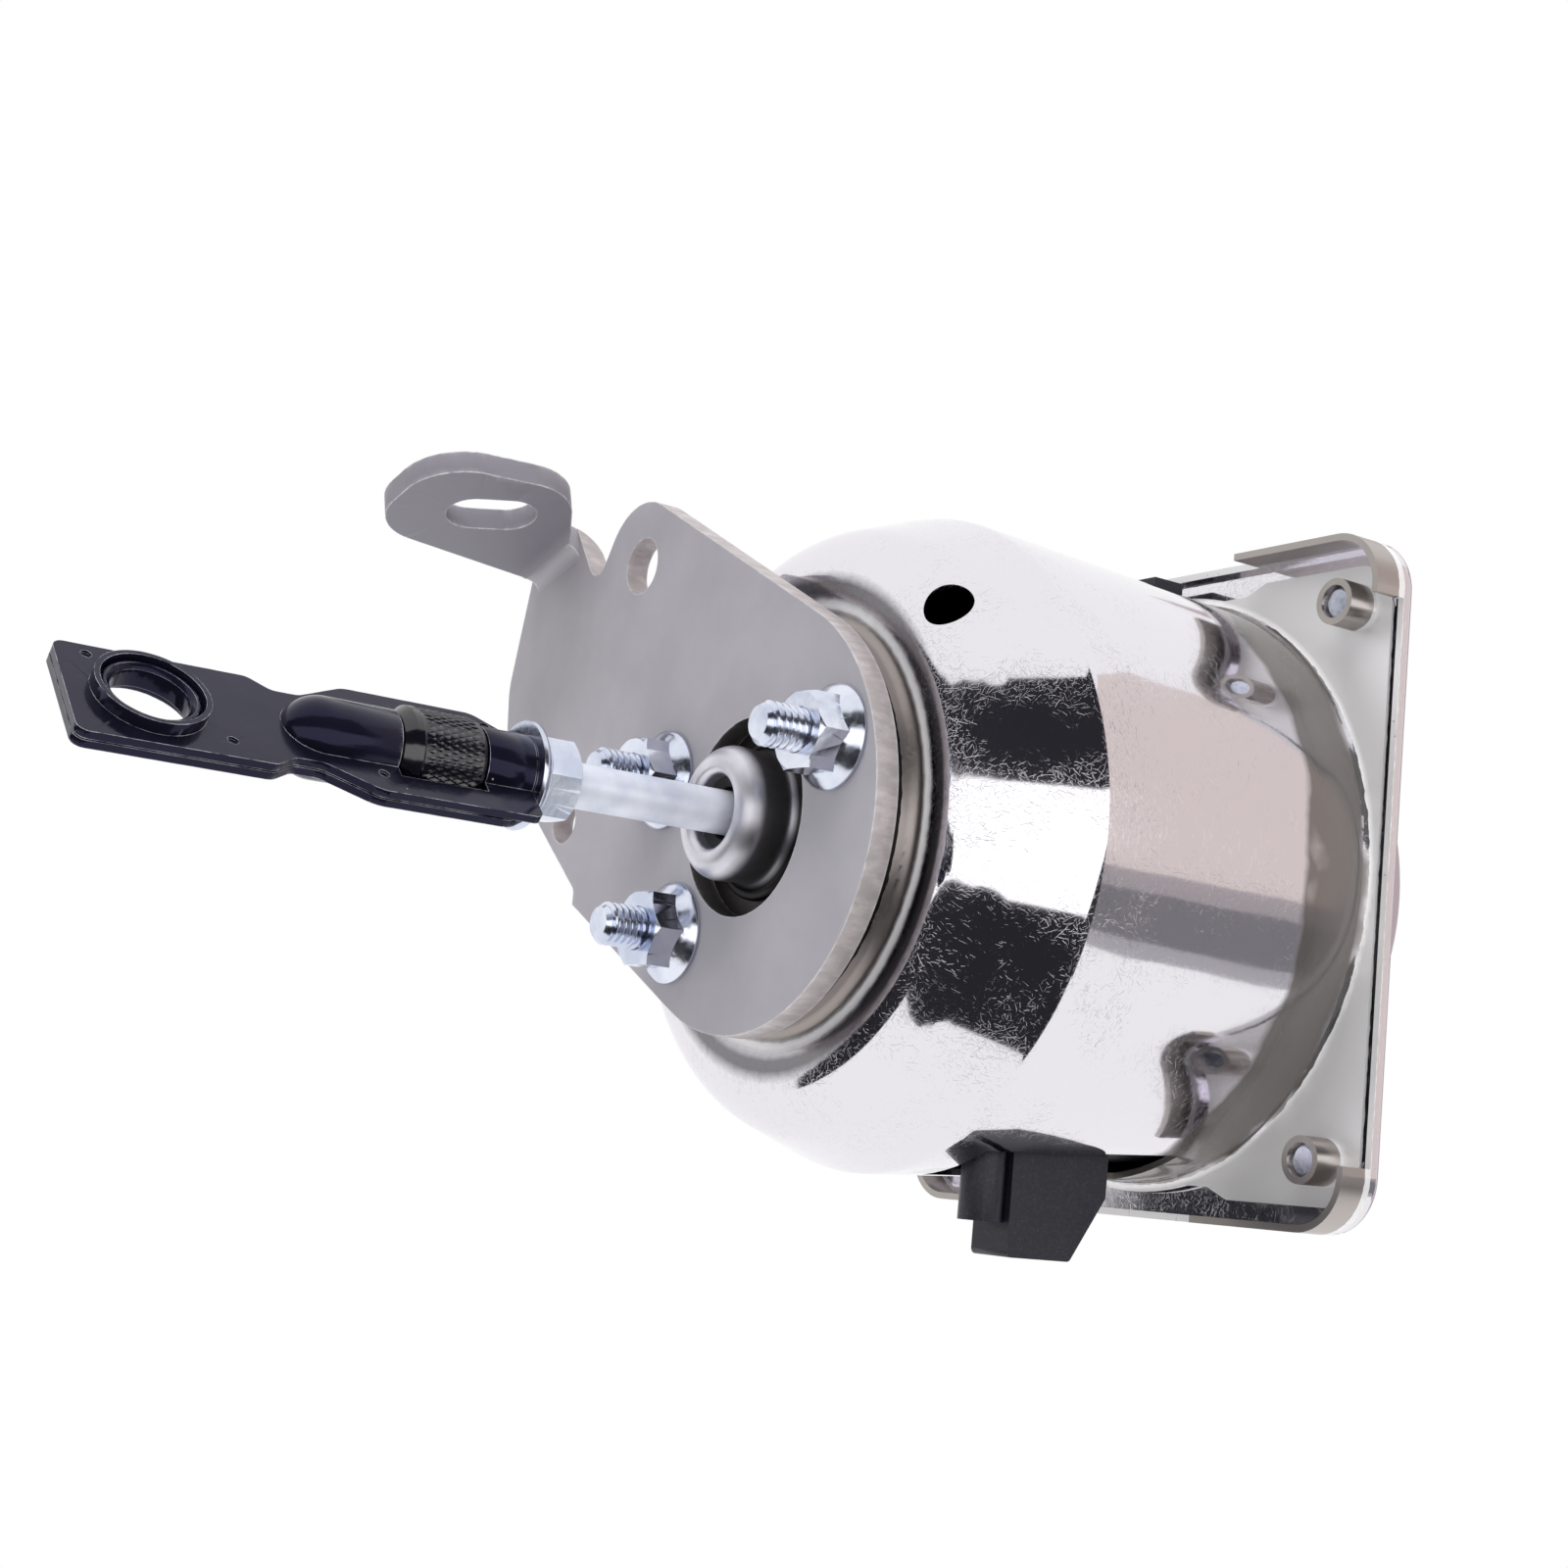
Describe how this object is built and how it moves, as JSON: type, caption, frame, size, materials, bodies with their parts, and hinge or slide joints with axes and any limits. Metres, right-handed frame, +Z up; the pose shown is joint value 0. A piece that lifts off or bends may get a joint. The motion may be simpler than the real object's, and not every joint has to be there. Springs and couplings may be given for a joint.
{
  "type": "wastegate actuator",
  "caption": "Electric wastegate actuator: polished steel can, grey slotted bracket, and a rod with a black adjustable eye link.",
  "frame": {"origin": "on the rod's axis, in the plane of the bracket's rear face", "axes": "+X along the rod from the eye to the can, +Z up, -Y towards the picture's camera"},
  "size_m": [0.1868, 0.1162, 0.1075],
  "materials": {
    "can_steel": "nickel-plated drawn steel, polished, finely scratched",
    "bracket_steel": "matte warm grey coating on cut steel plate",
    "zinc_steel": "bright zinc plating",
    "ring_steel": "satin steel",
    "link_black": "semi-gloss black dip coating, worn at the edges",
    "seal_rubber": "matte black",
    "housing_plastic": "glass-filled, fine grain",
    "gear_plastic": "natural acetal",
    "bearing_bronze": "sintered, dull",
    "magnet": "nickel-plated",
    "board_laminate": "green solder mask",
    "pin_tin": "tin-plated"
  },
  "bodies": {
    "base": {"heat_shield_can": "can_steel", "cover_gasket": "seal_rubber", "rear_cover": "can_steel", "cover_screws": "zinc_steel", "mounting_bracket": "bracket_steel", "mounting_studs": "zinc_steel", "stud_nuts": "zinc_steel", "rod_guide_ring": "ring_steel", "rod_seal": "seal_rubber", "actuator_housing": "housing_plastic", "housing_lid": "housing_plastic", "lid_screws": "zinc_steel", "front_bearing": "bearing_bronze", "rear_bearing": "bearing_bronze", "motor_can": "ring_steel", "idler_pin": "ring_steel", "sensor_board": "board_laminate", "connector_pins": "pin_tin"},
    "rod": {"push_rod": "zinc_steel", "lock_nut": "zinc_steel", "lead_screw": "ring_steel", "guide_slider": "gear_plastic", "position_magnet": "magnet"},
    "link": {"link_upper_sheet": "link_black", "link_lower_sheet": "link_black", "eye_bush": "link_black"},
    "adjuster": {"adjuster_nut": "link_black"},
    "drive": {"drive_nut": "gear_plastic"},
    "idler": {"idler_wheel": "gear_plastic"},
    "pinion": {"motor_pinion": "bearing_bronze"}
  },
  "joints": [
    {"name": "rod_travel", "type": "slide", "parent": "base", "child": "rod", "axis": [1, 0, 0], "range_m": [0, 0.012]},
    {"name": "link_setting", "type": "slide", "parent": "rod", "child": "link", "axis": [-1, 0, 0], "range_m": [0, 0.003]},
    {"name": "adjuster_turn", "type": "hinge", "parent": "link", "child": "adjuster", "pos_m": [-0.051, 0, 0], "axis": [1, 0, 0], "range_deg": [0, 1080]},
    {"name": "drive_turn", "type": "hinge", "parent": "base", "child": "drive", "pos_m": [0.058, 0, 0], "axis": [1, 0, 0], "range_deg": [0, 2160]},
    {"name": "idler_turn", "type": "hinge", "parent": "base", "child": "idler", "pos_m": [0.056, 0, 0.0217], "axis": [1, 0, 0], "range_deg": [-6210, 0]},
    {"name": "pinion_turn", "type": "hinge", "parent": "base", "child": "pinion", "pos_m": [0.053, 0.01666, 0.01437], "axis": [1, 0, 0], "range_deg": [0, 20700]}
  ],
  "couplings": [
    {"joint": "adjuster_turn", "follows": "link_setting", "rad_per_m": 6283.2},
    {"joint": "drive_turn", "follows": "rod_travel", "rad_per_m": 3141.6},
    {"joint": "idler_turn", "follows": "rod_travel", "rad_per_m": -9032.1},
    {"joint": "pinion_turn", "follows": "rod_travel", "rad_per_m": 30107}
  ]
}
